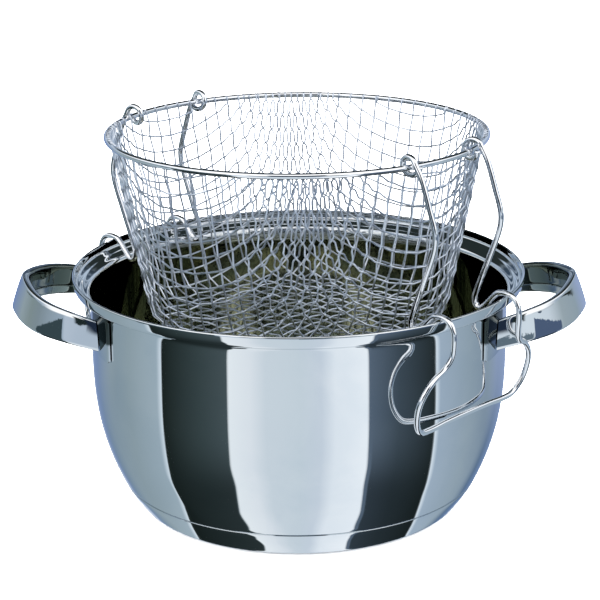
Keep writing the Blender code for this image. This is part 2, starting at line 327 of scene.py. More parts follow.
def tubes(name, paths, radius, sides):
    """One mesh of round wires along several paths."""
    points = []
    faces = []
    for path in paths:
        more, rows = tube_parts(path, radius, sides, len(points))
        points += more
        faces += rows
    return mesh_object(name, points, faces)


def loft(name, rings, angle=40.0):
    """A closed body through rings of the same count of points, capped at both ends."""
    count = len(rings[0])
    points = np.concatenate(rings)
    faces = []
    for k in range(len(rings) - 1):
        for i in range(count):
            j = (i + 1) % count
            a = k * count
            faces.append((a + i, a + j, a + count + j, a + count + i))
    faces.append(tuple(reversed(range(count))))
    last = (len(rings) - 1) * count
    faces.append(tuple(range(last, last + count)))
    return mesh_object(name, points, faces, angle)


# ---------------------------------------------------------------- pot


def pot_profile():
    """The pot's section: up its inside and down its outside."""
    inside = b_spline(POT_INSIDE, 4)
    outside = b_spline(POT_OUTSIDE, 4)
    return np.vstack([inside, outside])


def cap_profile():
    """The base cap's section: down its outside and back along its inside."""
    middle = CAP_PROFILE.index((0.0, 0.9))
    outer = b_spline(CAP_PROFILE[:middle], 4)
    inner = b_spline(CAP_PROFILE[middle:], 4)
    return np.vstack([outer, inner])


def arm_frames(side):
    """Point on the outer face, way along, outward and upward directions and height, along a side handle."""
    half = [np.array(p) for p in ARM_PATH]
    control = half + [p * [1.0, -1.0, 1.0] for p in reversed(half)]
    path = b_spline(control, 5)
    near, far = path[0, 0], path[:, 0].max()
    way = np.gradient(path, axis=0)
    way /= np.linalg.norm(way, axis=1)[:, None]
    flip = np.array([side, 1.0, 1.0])
    frames = []
    for p, along in zip(path, way):
        flat = np.array([-along[1], along[0], 0.0])
        flat /= np.linalg.norm(flat)
        up = np.cross(along, flat)
        share = (p[0] - near) / (far - near)
        lean = ARM_LEAN_ROOT + (ARM_LEAN_END - ARM_LEAN_ROOT) * share**2
        out = flat * math.cos(lean) + up * math.sin(lean)
        rise = up * math.cos(lean) - flat * math.sin(lean)
        height = ARM_HEIGHT_ROOT + (ARM_HEIGHT_END - ARM_HEIGHT_ROOT) * share
        frames.append((p * flip, along * flip, out * flip, rise * flip, height))
    return frames


def to_wall(point, along, radius):
    """Moves a point along the handle until it is at a radius from the pot's axis."""
    flat, way = point[:2], along[:2]
    size = way @ way
    reach = flat @ way
    move = (math.sqrt(reach**2 - size * (flat @ flat - radius**2)) - reach) / size
    return point + along * move


def arm_rings(side, section):
    """Sections along a side handle, with its two ends cut to the pot's wall."""
    frames = arm_frames(side)
    reach = ARM_END_R + 0.6
    rings = []
    for i, (centre, along, out, rise, height) in enumerate(frames):
        heading = along if i < len(frames) / 2 else -along
        ring = []
        for a, b in section(height):
            point = centre + out * a + rise * b
            if math.hypot(point[0], point[1]) < reach or i in (0, len(frames) - 1):
                point = to_wall(point, heading, ARM_END_R)
            ring.append(point)
        rings.append(np.array(ring))
    keep = [rings[0]]
    for ring in rings[1:-1]:
        if np.hypot(ring[:, 0], ring[:, 1]).min() > reach + 0.1:
            keep.append(ring)
    keep.append(rings[-1])
    return keep


def inner_face(height, b):
    """How far the inner face of a side handle lies behind its outer face, at a height b."""
    share = (height / 2 - b) / (height - ARM_LOW_RISE)
    return -ARM_TOP_WIDTH - (ARM_LOW_WIDTH - ARM_TOP_WIDTH) * share


def split_long(section, count_for):
    """Adds points along the long sides of a closed section, so that rounding stays at its corners."""
    out = []
    for k, point in enumerate(section):
        a = np.array(point)
        b = np.array(section[(k + 1) % len(section)])
        out += [tuple(a + (b - a) * i / count_for[k]) for i in range(count_for[k])]
    return out


def shell_section(height):
    """The bent outer sheet of a side handle, with a slight crown on its outer face."""
    h = height / 2
    s = ARM_SHEET
    w = ARM_TOP_WIDTH
    seam = h - height * SEAM_DEPTH
    back = inner_face(height, seam)
    outer = [(-0.6, -h), (-0.1, -h + 0.3), (0.0, -h + 1.0), (0.0, h - 0.9), (-0.25, h - 0.25), (-0.9, h)]
    outer += [(-w + 1.5, h - 0.05), (-w + 0.4, h - 0.4), (-w, h - 1.4)]
    outer += [(back, seam + 0.2), (back + 0.2, seam)]
    inner = [(back + s, seam), (-w + s, h - 1.9), (-w + s + 0.5, h - s)]
    inner += [(-s - 0.4, h - s), (-s, h - s - 0.4), (-s, -h + 1.2), (-s - 0.3, -h)]
    counts = [1, 1, 8, 1, 1, 2, 1, 1, 5, 1, 1, 5, 1, 1, 1, 8, 1, 1]
    points = split_long(outer + inner, counts)
    crowned = [(a + ARM_CROWN * (1.0 - (b / h) ** 2) if a > -0.01 else a, b) for a, b in points]
    return b_spline(crowned, 2, True)


def strip_section(height):
    """The inner closing strip of a side handle, bent over at its top and bottom."""
    h = height / 2
    s = ARM_SHEET
    w = ARM_LOW_WIDTH
    low = -h + ARM_LOW_RISE
    top = h - height * SEAM_DEPTH - 0.3
    bend = inner_face(height, low + 1.4)
    back = inner_face(height, top)
    right = -s - 0.6
    section = [
        (back + 0.2, top), (back, top - 0.2), (bend, low + 1.4), (-w + 0.5, low + 0.3),
        (-w + 1.6, low - 0.2), (right, -h + 0.3), (right, -h + 0.3 + s), (-w + 1.8, low - 0.2 + s),
        (bend + s, low + 1.6), (back + s, top),
    ]
    return b_spline(split_long(section, [1, 3, 1, 1, 3, 1, 3, 1, 3, 1]), 2, True)


def foot(name, side, way):
    """A curved plate on the pot's wall, with rounded edges and corners."""
    count = 25
    low_rise = 2.2
    top_fall = 0.6
    corner = 1.6
    rings = []
    for i in range(count):
        share = i / (count - 1)
        az = FOOT_AZ_IN + (FOOT_AZ_OUT - FOOT_AZ_IN) * share
        low = FOOT_LOW_Z + low_rise * (1.0 - share) ** 1.2
        top = FOOT_TOP_Z - top_fall * (1.0 - share)
        end = min(share, 1.0 - share) * (count - 1)
        trim = corner * max(1.0 - end / 3.0, 0.0) ** 2
        thick = FOOT_SHEET * (1.0 - 0.25 * max(1.0 - end, 0.0))
        ring = []
        for depth, z in (
            (0.0, low + trim), (thick * 0.55, low + trim), (thick * 0.9, low + trim + 0.15),
            (thick, low + trim + 0.5), (thick, (low + top) / 2), (thick, top - trim - 0.5),
            (thick * 0.9, top - trim - 0.15), (thick * 0.55, top - trim), (0.0, top - trim),
            (0.0, (low + top) / 2),
        ):
            radius = FOOT_R + depth
            ring.append((side * radius * math.cos(az), way * radius * math.sin(az), z))
        rings.append(np.array(ring))
    return loft(name, rings, 50.0)


# ---------------------------------------------------------------- basket


def on_basket(points):
    """Nearest points of the basket's form: flat bottom, round corner, flared side."""
    r = np.hypot(points[:, 0], points[:, 1])
    az = np.arctan2(points[:, 1], points[:, 0])
    cz = FLOOR_Z + CORNER_R
    dr, dz = r - FLOOR_R, points[:, 2] - cz
    beta = np.arctan2(dz, dr)
    er, ez = FLOOR_R + CORNER_R * math.cos(FLARE), cz - CORNER_R * math.sin(FLARE)
    sr, sz = math.sin(FLARE), math.cos(FLARE)
    t = np.maximum((r - er) * sr + (points[:, 2] - ez) * sz, 0.0)
    arc = np.clip(beta, -math.pi / 2, -FLARE)
    flat = (r < FLOOR_R) & (points[:, 2] < cz + (FLOOR_R - r) * 0.8)
    cone = (~flat) & (beta > -FLARE)
    radius = np.where(flat, r, np.where(cone, er + t * sr, FLOOR_R + CORNER_R * np.cos(arc)))
    height = np.where(flat, FLOOR_Z, np.where(cone, ez + t * sz, cz + CORNER_R * np.sin(arc)))
    return np.c_[radius * np.cos(az), radius * np.sin(az), height]


def basket_normal(points):
    """Which way is outwards from the basket's form."""
    r = np.hypot(points[:, 0], points[:, 1])
    az = np.arctan2(points[:, 1], points[:, 0])
    beta = np.clip(
        np.arctan2(points[:, 2] - FLOOR_Z - CORNER_R, r - FLOOR_R), -math.pi / 2, -FLARE
    )
    beta = np.where(r < FLOOR_R, -math.pi / 2, beta)
    return np.c_[np.cos(beta) * np.cos(az), np.cos(beta) * np.sin(az), np.sin(beta)]


def along_meridian(s, az):
    """The point at a distance s from the middle of the bottom, along the form."""
    arc = CORNER_R * (math.pi / 2 - FLARE)
    b = -math.pi / 2 + min(max(s - FLOOR_R, 0.0), arc) / CORNER_R
    t = max(s - FLOOR_R - arc, 0.0)
    r = s if s < FLOOR_R else FLOOR_R + CORNER_R * math.cos(b) + t * math.sin(FLARE)
    z = FLOOR_Z if s < FLOOR_R else FLOOR_Z + CORNER_R + CORNER_R * math.sin(b) + t * math.cos(FLARE)
    return np.array([r * math.cos(az), r * math.sin(az), z])


def first_quadrant():
    """A first guess of where the crossings lie, grown outwards from the middle."""
    p = MESH_PITCH
    at = {}
    for i in range(MESH_REACH + 1):
        at[(i, 0)] = along_meridian(i * p, 0.0)
        at[(0, i)] = along_meridian(i * p, math.pi / 2)
    for k in range(2, MESH_REACH + 1):
        for i in range(1, k):
            j = k - i
            a, b, c = at[(i - 1, j)], at[(i, j - 1)], at[(i - 1, j - 1)]
            middle = (a + b) / 2
            away = middle - c
            size = np.linalg.norm(away)
            away = away / size if size > 1e-6 else np.array([0.0, 0.0, 1.0])
            half = np.linalg.norm(a - b) / 2
            new = on_basket((middle + away * math.sqrt(max(p * p - half**2, (p / 2) ** 2)))[None])[0]
            for _ in range(12):
                for q in (a, b):
                    edge = new - q
                    new = new - edge * (1.0 - p / np.linalg.norm(edge))
                new = on_basket(new[None])[0]
            at[(i, j)] = new
    return at


def cloth_start():
    """The crossings' numbers, by their place in the cloth, and a first guess of where they lie."""
    index = {}
    reach = MESH_REACH
    for i in range(-reach, reach + 1):
        for j in range(-reach, reach + 1):
            if abs(i) + abs(j) <= reach:
                index[(i, j)] = len(index)
    start = first_quadrant()
    x = np.zeros((len(index), 3))
    turns = ((1, 0), (0, 1), (-1, 0), (0, -1))
    for (i, j), k in index.items():
        if i >= 0 and j >= 0:
            q, a, b = 0, i, j
        elif i < 0 and j >= 0:
            q, a, b = 1, j, -i
        elif i < 0:
            q, a, b = 2, -i, -j
        else:
            q, a, b = 3, -j, i
        c, s = turns[q]
        p = start[(a, b)]
        x[k] = (c * p[0] - s * p[1], s * p[0] + c * p[1], p[2])
    return index, x


def cloth_links(index):
    """Pairs next to each other on a wire, pairs across a cell, and threes in a row on a wire."""
    links = []
    crosses = []
    rows = []
    for (i, j), k in index.items():
        for a, b in ((1, 0), (0, 1)):
            if (i + a, j + b) in index:
                links.append((k, index[(i + a, j + b)]))
                if (i - a, j - b) in index:
                    rows.append((index[(i - a, j - b)], k, index[(i + a, j + b)]))
        if (i, j + 1) in index:
            for a in (1, -1):
                if (i + a, j) in index:
                    crosses.append((index[(i + a, j)], index[(i, j + 1)]))
    return np.array(links), np.array(crosses), np.array(rows)


def woven_crossings(rounds=3000):
    """Crossings of a square cloth of wire drawn over the basket: wires keep their length and only turn."""
    index, x = cloth_start()
    links, crosses, rows = cloth_links(index)
    degree = np.bincount(links.ravel(), minlength=len(x)).astype(float)[:, None]

    def spread(pairs):
        """Moves added up at the crossings they belong to."""
        total = np.zeros_like(x)
        for at, value in pairs:
            for axis in range(3):
                total[:, axis] += np.bincount(at, weights=value[:, axis], minlength=len(x))
        return total

    overshoot = 1.6
    lock_share = 0.35
    for turn in range(rounds):
        stiff = 0.12 if turn < rounds * 0.8 else 0.04
        m = (x[rows[:, 0]] + x[rows[:, 2]] - 2 * x[rows[:, 1]]) * (0.5 * stiff)
        x = on_basket(x + spread([(rows[:, 1], m), (rows[:, 0], -m / 2), (rows[:, 2], -m / 2)]))
        e = x[links[:, 1]] - x[links[:, 0]]
        f = e * (0.5 * (1.0 - MESH_PITCH / np.linalg.norm(e, axis=1)))[:, None]
        x = x + spread([(links[:, 0], f), (links[:, 1], -f)]) / degree * overshoot
        e = x[crosses[:, 1]] - x[crosses[:, 0]]
        size = np.maximum(np.linalg.norm(e, axis=1), 1e-3)
        f = e * (0.5 * np.minimum(1.0 - MESH_LOCK / size, 0.0))[:, None]
        x = on_basket(x + spread([(crosses[:, 0], f), (crosses[:, 1], -f)]) * lock_share)
    return index, x


def over_ring(point):
    """The end of a mesh wire: up inside the ring wire and pressed flat over its top."""
    az = math.atan2(point[1], point[0])
    out = np.array([math.cos(az), math.sin(az), 0.0])
    bend = ((184.0, 0.35), (164.0, 0.25), (142.0, 0.1), (120.0, -0.05), (98.0, -0.2), (78.0, -0.35))
    path = []
    for angle, rise in bend:
        a = math.radians(angle)
        gap = RING_WIRE + rise
        path.append(out * (RING_R + gap * math.cos(a)) + np.array([0.0, 0.0, RING_Z + gap * math.sin(a)]))
    return path


def clear_of_eyes(az):
    """False where a wire handle's eyelet goes round the ring."""
    chord = math.sqrt(RING_R**2 - EYE_SIDE**2)
    for centre in (RIGHT_AZ, LEFT_AZ):
        for sign in (-1, 1):
            eye = centre + math.atan2(sign * (EYE_SIDE - EYE_PITCH / 2), chord)
            gap = (az - eye + math.pi) % math.tau - math.pi
            if abs(gap) * RING_R < EYE_ROOM:
                return False
    return True


def mesh_wires(index, x):
    """Crimped paths of all wires of the cloth, cut at the ring."""
    c, s = math.cos(MESH_TURN), math.sin(MESH_TURN)
    turn = np.array([[c, s, 0.0], [-s, c, 0.0], [0.0, 0.0, 1.0]])
    x = x @ turn
    normal = basket_normal(x)
    paths = []
    for direction in (0, 1):
        for fixed in range(-MESH_REACH, MESH_REACH + 1):
            row = []
            for free in range(-MESH_REACH, MESH_REACH + 1):
                key = (free, fixed) if direction == 0 else (fixed, free)
                if key in index:
                    k = index[key]
                    sign = (1 if sum(key) % 2 == 0 else -1) * (1 if direction == 0 else -1)
                    a, b = (0, 1) if direction == 0 else (1, 0)
                    before = index.get((key[0] - a, key[1] - b), k)
                    after = index.get((key[0] + a, key[1] + b), k)
                    row.append((x[k], x[k] + normal[k] * MESH_CRIMP * sign, x[after] - x[before]))
            paths += cut_row(row)
    return paths


def cut_row(row):
    """The stretches of a wire that lie below the ring, with their ends bent over it."""
    out = []
    run = []
    none = np.zeros(3)
    for k, (bare, crimped, across) in enumerate(row):
        low = bare[2] < MESH_TOP - 0.8
        if low and not run and k > 0:
            run = [(crossing(row[k - 1][0], bare), none)]
        if low and run:
            run.append((crimped, across))
        if not low and run:
            run.append((crossing(bare, row[k - 1][0]), none))
            out.append(run)
            run = []
    return [finished(run) for run in out if len(run) > 3]


def crossing(high, low):
    """Where a wire between two points passes the height MESH_TOP."""
    share = (MESH_TOP - low[2]) / max(high[2] - low[2], 1e-6)
    return low + (high - low) * min(share, 1.0)


def eased(run):
    """Where the cloth is drawn together, its wires lie side by side and swap over at each crossing."""
    near, far = 0.22, 0.78
    slant_free, slant_span = 0.35, 0.4
    bulge = 0.26
    out = [run[0][0]]
    for (p, across_p), (q, across_q) in zip(run, run[1:]):
        step = q - p
        across = across_p + across_q
        size = np.linalg.norm(across)
        aside = np.zeros(3)
        if size > 0.1:
            across = across / size * np.linalg.norm(step)
            slant = (step @ across) / (step @ step)
            along = step + math.copysign(1.0, slant) * across
            along = along / max(np.linalg.norm(along), 1e-6)
            pull = min(max((abs(slant) - slant_free) / slant_span, 0.0), 1.0)
            aside = (step - (step @ along) * along) * bulge * pull
        out += [p + step * near + aside, p + step * far - aside, q]
    return out


def finished(run):
    """A wire's path, each end bent over the ring, or cut off below an eyelet that is in its way."""
    path = list(through(eased(run), 2))
    for _ in range(2):
        path.reverse()
        high = [k for k, p in enumerate(path) if p[2] > EYE_LOW and k > len(path) / 2]
        blocked = [k for k in high if not clear_of_eyes(math.atan2(path[k][1], path[k][0]))]
        if blocked:
            path = path[: min(blocked)]
        else:
            path += over_ring(path[-1])
    return np.array(path)


def leg_points():
    """One half of a wire handle as (r, side, height): eyelet turn, leg, rim hook and grip."""
    chord = math.sqrt(RING_R**2 - EYE_SIDE**2)
    points = []
    turns = 52
    for i in range(turns):
        share = 1.0 - i / (turns - 1)
        angle = LEG_LEAN + EYE_TURN * share
        side = EYE_SIDE - EYE_PITCH * share
        points.append((chord + EYE_R * math.cos(angle), side, EYE_Z + EYE_R * math.sin(angle)))
    run = through([points[-1], *LEG_PATH], 9)
    return points + [tuple(p) for p in run[1:]]


def handle_path(azimuth):
    """The whole wire of a wire handle, from eyelet to eyelet."""
    half = leg_points()
    full = half + [(r, -t, z) for r, t, z in reversed(half[:-1])]
    out = np.array([math.cos(azimuth), math.sin(azimuth), 0.0])
    side = np.array([-math.sin(azimuth), math.cos(azimuth), 0.0])
    return np.array([out * r + side * t + np.array([0.0, 0.0, z]) for r, t, z in full])


def ring_wire(name):
    """The basket's ring, bent from one wire, with its ends butt-welded at the back."""
    steps, sides = 300, 20
    points = []
    faces = []
    for i in range(steps):
        az = math.tau * i / steps
        off = abs((az - RING_WELD_AZ + math.pi) % math.tau - math.pi) * RING_R
        radius = RING_WIRE * (1.0 + RING_WELD_SWELL * math.exp(-((off / RING_WELD_LENGTH) ** 2)))
        for j in range(sides):
            a = math.tau * j / sides
            r = RING_R + radius * math.cos(a)
            points.append((r * math.cos(az), r * math.sin(az), RING_Z + radius * math.sin(a)))
    for i in range(steps):
        k = (i + 1) % steps
        for j in range(sides):
            n = (j + 1) % sides
            faces.append((i * sides + j, k * sides + j, k * sides + n, i * sides + n))
    return mesh_object(name, points, faces)


# ---------------------------------------------------------------- materials


class Nodes:
    """Short calls for building a node tree."""

    def __init__(self, tree):
        self.tree = tree
        self.tree.nodes.clear()

    def new(self, kind, inputs=None, **settings):
        node = self.tree.nodes.new(kind)
        for key, value in settings.items():
            setattr(node, key, value)
        for key, value in (inputs or {}).items():
            self.put(node.inputs[key], value)
        return node

    def put(self, socket, value):
        if isinstance(value, bpy.types.NodeSocket):
            self.tree.links.new(value, socket)
        elif value is not None:
            socket.default_value = value

    def math(self, operation, a, b=None, clamp=False):
        node = self.tree.nodes.new("ShaderNodeMath")
        node.operation = operation
        node.use_clamp = clamp
        for socket, value in zip(node.inputs, (a, b)):
            self.put(socket, value)
        return node.outputs[0]

    def plus(self, a, b):
        return self.math("ADD", a, b)

    def minus(self, a, b):
        return self.math("SUBTRACT", a, b)

    def times(self, a, b):
        return self.math("MULTIPLY", a, b)

    def over(self, a, b):
        return self.math("DIVIDE", a, b)

    def split(self, vector):
        node = self.new("ShaderNodeSeparateXYZ", {0: vector})
        return node.outputs

    def join(self, x, y, z):
        return self.new("ShaderNodeCombineXYZ", {0: x, 1: y, 2: z}).outputs[0]

    def between(self, value, low, high, to_low=0.0, to_high=1.0, smooth=True):
        node = self.new(
            "ShaderNodeMapRange",
            {"Value": value, "From Min": low, "From Max": high, "To Min": to_low, "To Max": to_high},
            interpolation_type="SMOOTHSTEP" if smooth else "LINEAR",
        )
        return node.outputs["Result"]

    def window(self, value, low_off, low_on, high_on, high_off):
        """1 between the two middle values, easing to 0 at the outer ones."""
        falling = self.between(value, high_on, high_off, 1.0, 0.0)
        return self.times(self.between(value, low_off, low_on), falling)

    def mix(self, factor, a, b):
        node = self.new("ShaderNodeMix", data_type="RGBA", blend_type="MIX", clamp_factor=True)
        self.put(node.inputs[0], factor)
        for socket, value in ((node.inputs[6], a), (node.inputs[7], b)):
            self.put(socket, (*value, 1.0) if isinstance(value, tuple) and len(value) == 3 else value)
        return node.outputs[2]

    def noise(self, vector, scale, detail=3.0, rough=0.5, warp=0.0):
        node = self.new(
            "ShaderNodeTexNoise",
            {"Vector": vector, "Scale": scale, "Detail": detail, "Roughness": rough, "Distortion": warp},
        )
        return node.outputs["Fac"]

    def ramp(self, factor, stops):
        node = self.new("ShaderNodeValToRGB", {"Fac": factor})
        band = node.color_ramp
        band.interpolation = "LINEAR"
        while len(band.elements) < len(stops):
            band.elements.new(0.5)
        for element, (place, colour) in zip(band.elements, stops):
            element.position = place
            element.color = (*colour, 1.0)
        return node.outputs["Color"]


def linear(r, g, b, gain=1.0):
    """A display colour, 0 to 255, as linear light."""
    out = []
    for value in (r, g, b):
        v = value / 255.0
        out.append(gain * (v / 12.92 if v <= 0.04045 else ((v + 0.055) / 1.055) ** 2.4))
    return tuple(out)


def steel(name, light, dark, rough, grain, bump, smear, painted_shade=None):
    """Polished metal: faint lines of the polish, uneven gloss, smears, and colour that drifts a little.

    A "round" grain follows the circles of a turned piece, and a "free" one has no direction.
    """
    mat = bpy.data.materials.new(name)
    mat.use_nodes = True
    n = Nodes(mat.node_tree)
    out = n.new("ShaderNodeOutputMaterial")
    shader = n.new("ShaderNodeBsdfPrincipled")
    n.put(out.inputs["Surface"], shader.outputs[0])
    shader.inputs["Metallic"].default_value = 1.0
    place = n.new("ShaderNodeTexCoord").outputs["Object"]
    x, y, z = n.split(place)
    lines = place
    if grain == "round":
        turn = n.math("ARCTAN2", y, x)
        radius = n.math("SQRT", n.plus(n.times(x, x), n.times(y, y)))
        around_x = n.times(n.math("COSINE", turn), 0.02)
        around_y = n.times(n.math("SINE", turn), 0.02)
        lines = n.join(around_y, around_x, n.plus(z, n.times(radius, 1.7)))
    polish = n.noise(lines, 900.0, 4.0, 0.6)
    blotch = n.noise(place, 22.0, 4.0, 0.55, 0.6)
    fine = n.noise(place, 160.0, 3.0, 0.6)
    colour = n.mix(n.between(blotch, 0.35, 0.7), light, dark)
    # painted shade laid over the colour, where a piece has one
    if painted_shade is not None:
        colour = painted_shade(n, colour, (x, y, z))
    n.put(shader.inputs["Base Color"], colour)
    wipe = n.between(n.noise(place, 38.0, 5.0, 0.62, 1.6), 0.52, 0.72, 0.0, smear)
    gloss = n.plus(n.between(blotch, 0.3, 0.7, rough * 0.75, rough * 1.3), wipe)
    gloss = n.plus(gloss, n.between(fine, 0.4, 0.7, 0.0, rough * 0.4))
    n.put(shader.inputs["Roughness"], gloss)
    height = n.plus(n.times(polish, 0.5), n.times(fine, 0.5))
    ridge = n.new("ShaderNodeBump", {"Strength": bump, "Distance": 0.00004, "Height": height})
    n.put(shader.inputs["Normal"], ridge.outputs["Normal"])
    return mat


def pot_painted_shade(n, colour, place):
    """Painted shade and reflection: inside the pot, below its rim, the colour is made warmer and darker."""
    x, y, z = place
    radius = n.math("SQRT", n.plus(n.times(x, x), n.times(y, y)))
    nx, ny, nz = n.split(n.new("ShaderNodeNewGeometry").outputs["Normal"])
    inward = n.over(n.plus(n.times(nx, x), n.times(ny, y)), radius)
    facing = n.between(inward, -0.05, 0.05, 1.0, 0.0)
    low = n.between(z, 0.118, 0.124, 1.0, 0.0)
    up = n.times(n.between(nz, 0.3, 0.6), n.between(z, 0.009, 0.0095))
    inside = n.math("MAXIMUM", n.times(facing, low), n.times(up, low), clamp=True)
    # painted shade and reflection: the inside wall and the inside floor are made warmer and darker
    return n.mix(inside, colour, linear(176, 178, 160))


def shell_painted_shade(n, colour, place):
    """Painted shade: the inner side of a handle's shell, which faces the middle of the loop, is darker."""
    x, y, _ = place
    nx, ny, _ = n.split(n.new("ShaderNodeNewGeometry").outputs["Normal"])
    out_x = n.minus(n.math("ABSOLUTE", x), LOOP_MIDDLE)
    way_x = n.times(n.times(n.math("SIGN", x), out_x), nx)
    inward = n.plus(way_x, n.times(y, ny))
    reach = n.math("SQRT", n.plus(n.times(out_x, out_x), n.times(y, y)))
    share = n.over(inward, reach)
    # painted shade on the side of the shell that faces the middle of the loop
    return n.mix(n.between(share, -0.75, -0.35, 1.0, 0.0), colour, linear(128, 134, 124))


def foot_painted_shade(n, colour, place):
    """Painted shade: the top of the plate, next to the handle's root, is darker, with a slightly uneven
    edge.
    """
    edge = n.plus(place[2], n.times(n.noise(n.join(*place), 120.0, 3.0, 0.6), 0.003))
    # painted shade along the top of the plate, under the handle's root
    return n.mix(n.between(edge, 0.1075, 0.1095), colour, linear(70, 78, 76))


def dress(obj, mat, body, node):
    """Gives a piece its material, and puts it on a body in place of a CAD node."""
    obj.data.materials.clear()
    obj.data.materials.append(mat)
    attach(obj, body)
    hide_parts(node)
    return obj


# ---------------------------------------------------------------- build


def build_pot():
    """Pot, base cap, and the two side handles on their foot plates."""
    bright = linear(226, 229, 231)
    cool = linear(218, 223, 227)
    dull = linear(188, 192, 182)
    dull_dark = linear(172, 177, 170)
    pot = turned("pot_skin", pot_profile(), steps=288, closed=False)
    # the pot's material carries painted shade and reflection inside the pot
    mat = steel("pot_steel", bright, cool, rough=0.018, grain="round", bump=0.06, smear=0.02, painted_shade=pot_painted_shade)
    dress(pot, mat, "pot", "pot_body")
    cap = turned("cap_skin", cap_profile(), steps=288, closed=True)
    mat = steel("cap_steel", bright, cool, rough=0.022, grain="round", bump=0.06, smear=0.03)
    dress(cap, mat, "pot", "base_cap")
    # the shells carry painted shade on their inner side
    shell_looks = {"rough": 0.024, "grain": "free", "bump": 0.07, "smear": 0.03, "painted_shade": shell_painted_shade}
    strip_looks = {"rough": 0.07, "grain": "free", "bump": 0.1, "smear": 0.05}
    # the foot plates carry painted shade at their top, under the handle's root
    plate_looks = {"rough": 0.04, "grain": "free", "bump": 0.1, "smear": 0.05, "painted_shade": foot_painted_shade}
    for word, side in (("right", 1.0), ("left", -1.0)):
        shell = loft(f"{word}_handle_skin", arm_rings(side, shell_section))
        mat = steel(f"{word}_shell_steel", bright, cool, **shell_looks)
        dress(shell, mat, "pot", f"{word}_handle_shell")
        strip = loft(f"{word}_strip_skin", arm_rings(side, strip_section))
        mat = steel(f"{word}_strip_steel", dull, dull_dark, **strip_looks)
        dress(strip, mat, "pot", f"{word}_handle_strip")
        for place, way in (("front", -1.0), ("rear", 1.0)):
            plate = foot(f"{word}_{place}_plate", side, way)
            mat = steel(f"{word}_{place}_steel", bright, cool, **plate_looks)
            dress(plate, mat, "pot", f"{word}_{place}_foot")


def build_basket():
    """Ring, woven mesh, and the two wire handles."""
    chrome = linear(244, 245, 247)
    cool = linear(234, 237, 241)
    chrome_looks = {"rough": 0.025, "grain": "free", "bump": 0.06, "smear": 0.03}
    ring = ring_wire("ring_wire")
    dress(ring, steel("ring_chrome", chrome, cool, **chrome_looks), "basket", "basket_rim_ring")
    index, x = woven_crossings()
    cloth = tubes("woven_mesh", mesh_wires(index, x), MESH_WIRE, sides=7)
    pale = linear(229, 235, 244)
    grey = linear(211, 220, 233)
    mat = steel("mesh_tinned", pale, grey, rough=0.32, grain="free", bump=0.12, smear=0.06)
    dress(cloth, mat, "basket", "basket_mesh")
    for word, azimuth in (("right", RIGHT_AZ), ("left", LEFT_AZ)):
        wire = tubes(f"{word}_wire_skin", [handle_path(azimuth)], WIRE_R, sides=20)
        mat = steel(f"{word}_wire_chrome", chrome, cool, **chrome_looks)
        dress(wire, mat, f"{word}_wire_handle", f"{word}_basket_handle")


def dress_core():
    """The aluminium disc stays as the frame has it."""
    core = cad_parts["base_core_disc"]
    pale = linear(214, 216, 218)
    grey = linear(200, 203, 206)
    mat = steel("core_aluminium", pale, grey, rough=0.3, grain="round", bump=0.3, smear=0.1)
    core.data.materials.clear()
    core.data.materials.append(mat)


# ---------------------------------------------------------------- studio


def on_side(n, right_side, left, right):
    """A number that differs between the left and the right of the studio."""
    return n.between(right_side, 0.0, 1.0, left, right, False)


def by_side(n, right_side, turn, left_table, right_table, gain):
    """The colour at a turn from straight ahead, out of the table of its side."""
    share = n.over(turn, math.pi)
    left = n.ramp(share, [(place / 180.0, linear(*colour, gain)) for place, colour in left_table])
    right = n.ramp(share, [(place / 180.0, linear(*colour, gain)) for place, colour in right_table])
    return n.mix(right_side, left, right)


def wall_angle(n, x, y, z):
    """The turn of the part of the wall that mirrors a direction to the photo's viewpoint.

    The wall's normal lies between the direction and the way to the viewpoint. That way leads mostly
    ahead, and swings a little to the side with the place on the wall.
    """
    steep, shallow = -0.97, -0.30
    ahead = n.minus(n.between(z, steep, shallow, 0.905, 0.950, False), y)
    swing = n.between(z, steep, shallow, 0.088, 0.113, False)
    angle = n.math("ARCTAN2", x, ahead)
    for _ in range(2):
        nearer = n.minus(x, n.times(swing, n.math("SINE", angle)))
        angle = n.math("ARCTAN2", nearer, ahead)
    return angle


def studio_bands(n, x, y, z, right_side):
    """White, dark and blue-grey screens round the pot, below the horizon."""
    side_x = n.math("ABSOLUTE", x)
    angle = wall_angle(n, side_x, y, z)
    # near the base of the pot, both edges of a dark screen come in towards the middle
    inner = n.plus(n.between(z, -0.58, -0.75, 0.0, 0.017), n.between(z, -0.86, -0.985, 0.0, 0.064))
    inner = n.times(inner, on_side(n, right_side, 1.0, 0.56))
    inner = n.times(inner, n.between(angle, 0.37, 0.56, 1.0, 0.0))
    outer = n.times(n.between(y, 0.04, 0.14), n.between(z, -0.60, -0.73))
    outer = n.times(outer, on_side(n, right_side, 0.036, 0.008))
    angle = n.plus(n.plus(angle, inner), outer)
    # well behind the pot the plain turn takes over
    plain_turn = n.math("ARCTAN2", side_x, n.times(y, -1.0))
    behind = n.between(y, 0.60, 0.82)
    mirrored = n.times(n.times(angle, 2.0), n.minus(1.0, behind))
    turn = n.plus(mirrored, n.times(plain_turn, behind))
    bands = by_side(n, right_side, turn, LEFT_BANDS, RIGHT_BANDS, 1.0 / WALL_SHINE)
    # the dark screens are darker towards their feet
    dark_screen = n.window(n.over(turn, math.pi), 0.206, 0.212, 0.405, 0.415)
    low = n.times(dark_screen, n.between(z, -0.40, -0.80, 0.0, 0.72))
    return n.mix(low, bands, linear(*SCREEN_FOOT))


